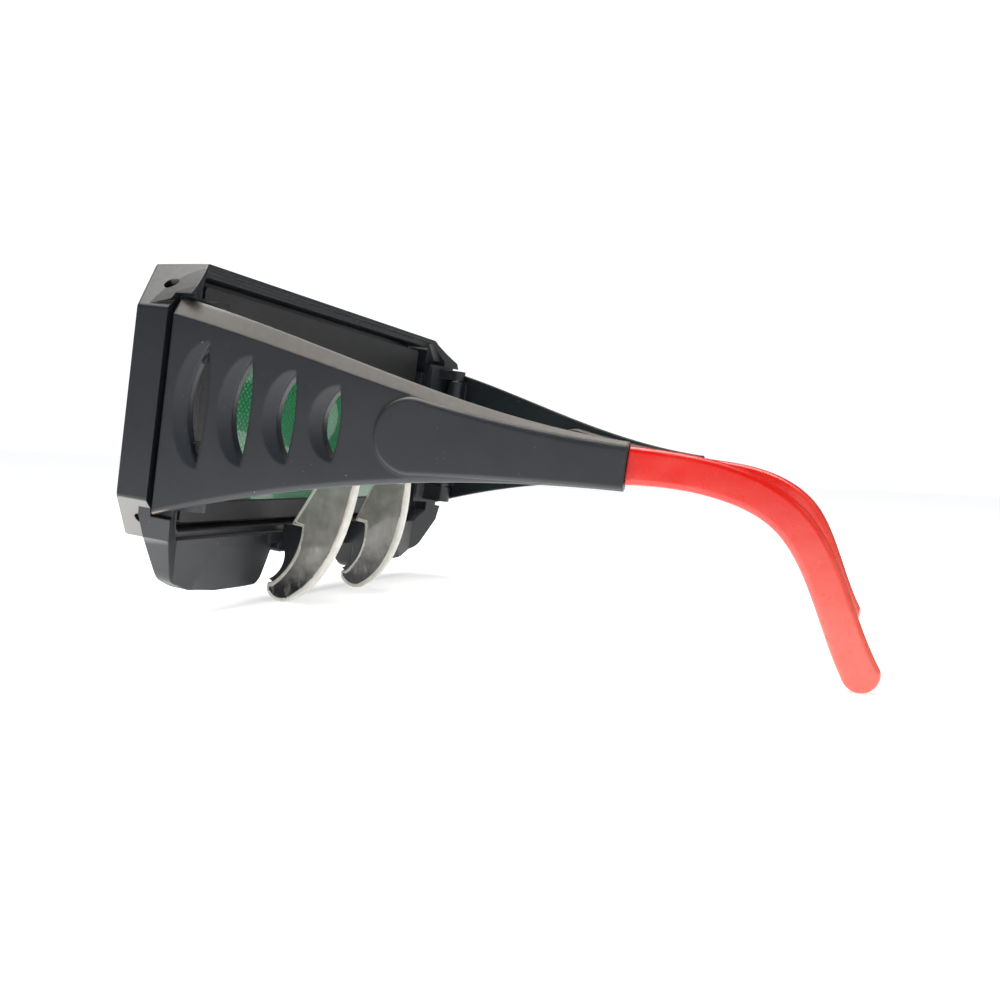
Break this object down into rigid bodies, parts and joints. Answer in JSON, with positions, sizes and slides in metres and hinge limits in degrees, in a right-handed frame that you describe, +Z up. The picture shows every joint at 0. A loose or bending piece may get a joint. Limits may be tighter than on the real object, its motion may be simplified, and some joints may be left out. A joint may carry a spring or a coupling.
{
  "type": "welding goggles",
  "caption": "Auto-darkening welding goggles with a wide filter cartridge, slotted folding temples, sliding red ear tips and clear nose pads.",
  "frame": {"origin": "middle of the floor rectangle that the goggles' bounding box stands on", "axes": "+X to the wearer's left, +Y back along the temples, +Z up; the goggles stand on their nose pads and ear tips"},
  "size_m": [0.1396, 0.1522, 0.0751],
  "materials": {
    "black_plastic": "satin moulded, fine texture",
    "casing_plastic": "matte moulded",
    "clear_plate": "polished clear polycarbonate",
    "mirror_glass": "mirror-like coated filter glass",
    "shutter_glass": "liquid crystal panel",
    "green_glass": "polished green glass",
    "film": "polarising film",
    "solar_cell": "gloss solar cell",
    "sensor": "gloss dark lens",
    "circuit_board": "solder-masked board",
    "screw_steel": "blackened steel",
    "pin_steel": "drawn steel",
    "red_plastic": "gloss, slightly translucent",
    "clear_pad": "clear soft plastic"
  },
  "bodies": {
    "front": {"main_frame": "black_plastic", "front_bezel": "black_plastic", "cover_plate": "clear_plate", "corner_screws": "screw_steel", "filter_front_casing": "casing_plastic", "filter_rear_casing": "casing_plastic", "front_filter_glass": "mirror_glass", "shutter_panel_front": "shutter_glass", "shutter_panel_rear": "shutter_glass", "rear_filter_glass": "green_glass", "polarizing_films": "film", "solar_cell": "solar_cell", "light_sensors": "sensor", "circuit_board": "circuit_board", "nose_bridge": "black_plastic", "nose_pad_left": "clear_pad", "nose_pad_right": "clear_pad", "hinge_pins_left": "pin_steel", "hinge_pins_right": "pin_steel"},
    "left_temple": {"temple_left": "black_plastic"},
    "right_temple": {"temple_right": "black_plastic"},
    "left_ear_tip": {"ear_tip_left": "red_plastic"},
    "right_ear_tip": {"ear_tip_right": "red_plastic"}
  },
  "joints": [
    {"name": "temple_left_hinge", "type": "hinge", "parent": "front", "child": "left_temple", "pos_m": [0.06371, -0.0534, 0.04517], "axis": [0, 0.0973, 0.9953], "range_deg": [0, 80], "deforming": ["ear_tip_left"]},
    {"name": "temple_right_hinge", "type": "hinge", "parent": "front", "child": "right_temple", "pos_m": [-0.06309, -0.0534, 0.04517], "axis": [0, 0.0973, 0.9953], "range_deg": [-57.5, 7.5], "deforming": ["ear_tip_right"]},
    {"name": "ear_tip_left_slide", "type": "slide", "parent": "left_temple", "child": "left_ear_tip", "axis": [0.1267, -0.9872, 0.0965], "range_m": [-0.008, 0]},
    {"name": "ear_tip_right_slide", "type": "slide", "parent": "right_temple", "child": "right_ear_tip", "axis": [0.2551, 0.9623, -0.0941], "range_m": [0, 0.008]}
  ]
}
